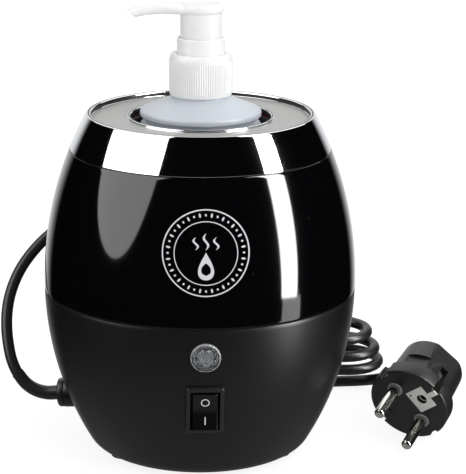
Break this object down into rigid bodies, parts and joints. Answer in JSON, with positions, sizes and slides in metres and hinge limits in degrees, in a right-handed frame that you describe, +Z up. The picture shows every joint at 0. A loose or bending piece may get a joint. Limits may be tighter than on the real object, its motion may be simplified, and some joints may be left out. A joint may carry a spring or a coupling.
{
  "type": "lotion warmer",
  "caption": "electric warmer with a heated well that holds a pump bottle, with rocker switch, pilot lamp and plug-in cord",
  "frame": {"origin": "on the floor under the middle of the round body", "axes": "+Z up, the switch and lamp face -Y, +X to the right of someone facing the switch"},
  "size_m": [0.2102, 0.1627, 0.1986],
  "materials": {
    "satin_black": "satin moulded plastic",
    "gloss_black": "high gloss plastic",
    "chrome_plate": "mirror chrome plating on plastic",
    "cup_metal": "spun aluminium",
    "gasket_rubber": "silicone rubber",
    "band_copper": "foil heater band",
    "felt": "mineral felt sleeve",
    "steel": "spring steel strap",
    "fuse_metal": "sealed can",
    "phenolic": "moulded phenolic",
    "black_rubber": "soft rubber",
    "bezel_black": "semi gloss nylon",
    "rocker_black": "semi gloss plastic",
    "brass_tab": "tinned brass",
    "clear_lens": "clear acrylic",
    "lamp_white": "moulded nylon",
    "bulb_glass": "neon bulb",
    "gland_black": "semi gloss nylon",
    "cord_pvc": "smooth PVC",
    "tie_vinyl": "vinyl tie",
    "plug_pvc": "moulded PVC",
    "nickel": "nickel plated brass",
    "nylon_white": "nylon",
    "wire_pvc": "PVC insulated wire",
    "frosted_bottle": "frosted polyethylene",
    "pump_white": "smooth polypropylene",
    "spring_steel": "stainless spring wire",
    "dip_clear": "translucent polyethylene"
  },
  "bodies": {
    "housing": {"base_shell": "satin_black", "upper_shell": "gloss_black", "top_ring": "chrome_plate", "heater_cup": "cup_metal", "cup_gasket": "gasket_rubber", "heater_band": "band_copper", "cup_insulation": "felt", "band_clamps": "steel", "thermostat": "steel", "thermostat_screws": "steel", "thermal_fuse": "fuse_metal", "fuse_clip": "steel", "cup_carrier": "phenolic", "carrier_screws": "steel", "bottom_plate": "satin_black", "rubber_feet": "black_rubber", "bottom_screws": "steel", "shell_screws": "steel", "switch_housing": "bezel_black", "switch_terminals": "brass_tab", "lamp_lens": "clear_lens", "lamp_body": "lamp_white", "lamp_clip": "steel", "lamp_bulb": "bulb_glass", "cord_gland": "gland_black", "cord_sleeve": "cord_pvc", "power_cord": "cord_pvc", "cord_hank": "cord_pvc", "cord_tie": "tie_vinyl", "plug_lead": "cord_pvc", "plug_body": "plug_pvc", "plug_pins": "nickel", "plug_earth": "nickel", "supply_lead": "cord_pvc", "cable_clamp": "nylon_white", "clamp_screws": "steel", "terminal_block": "nylon_white", "switch_wires": "wire_pvc", "heater_wires": "wire_pvc", "lamp_wires": "wire_pvc"},
    "bottle": {"bottle": "frosted_bottle"},
    "pump_unit": {"neck_gasket": "nylon_white", "pump_collar": "pump_white", "pump_cylinder": "pump_white", "pump_spring": "spring_steel", "dip_tube": "dip_clear"},
    "closure": {"pump_closure": "pump_white"},
    "piston": {"piston": "pump_white"},
    "head": {"piston_stem": "pump_white", "pump_head": "pump_white"},
    "ball": {"inlet_ball": "spring_steel"},
    "rocker": {"switch_rocker": "rocker_black"}
  },
  "joints": [
    {"name": "bottle_lift", "type": "slide", "parent": "housing", "child": "bottle", "axis": [0, 0, 1], "range_m": [0, 0.125]},
    {"name": "pump_rise", "type": "slide", "parent": "bottle", "child": "pump_unit", "axis": [0, 0, 1], "range_m": [0, 0.00454]},
    {"name": "closure_turn", "type": "hinge", "parent": "pump_unit", "child": "closure", "pos_m": [0, 0, 0.168], "axis": [0, 0, 1], "range_deg": [0, 515]},
    {"name": "pump_press", "type": "slide", "parent": "pump_unit", "child": "piston", "axis": [0, 0, 1], "range_m": [-0.0095, 0], "stiffness_N_per_m": 400, "springref_m": 0.005, "deforming": ["pump_spring"]},
    {"name": "head_swivel", "type": "hinge", "parent": "piston", "child": "head", "pos_m": [0, 0, 0.185], "axis": [0, 0, 1], "continuous": true},
    {"name": "ball_lift", "type": "slide", "parent": "pump_unit", "child": "ball", "axis": [0, 0, 1], "range_m": [0, 0.0012]},
    {"name": "rocker_tilt", "type": "hinge", "parent": "housing", "child": "rocker", "pos_m": [0, -0.06265, 0.03774], "axis": [1, 0, 0], "range_deg": [0, 20]}
  ],
  "couplings": [
    {"joint": "closure_turn", "follows": "pump_rise", "rad_per_m": 1979}
  ]
}
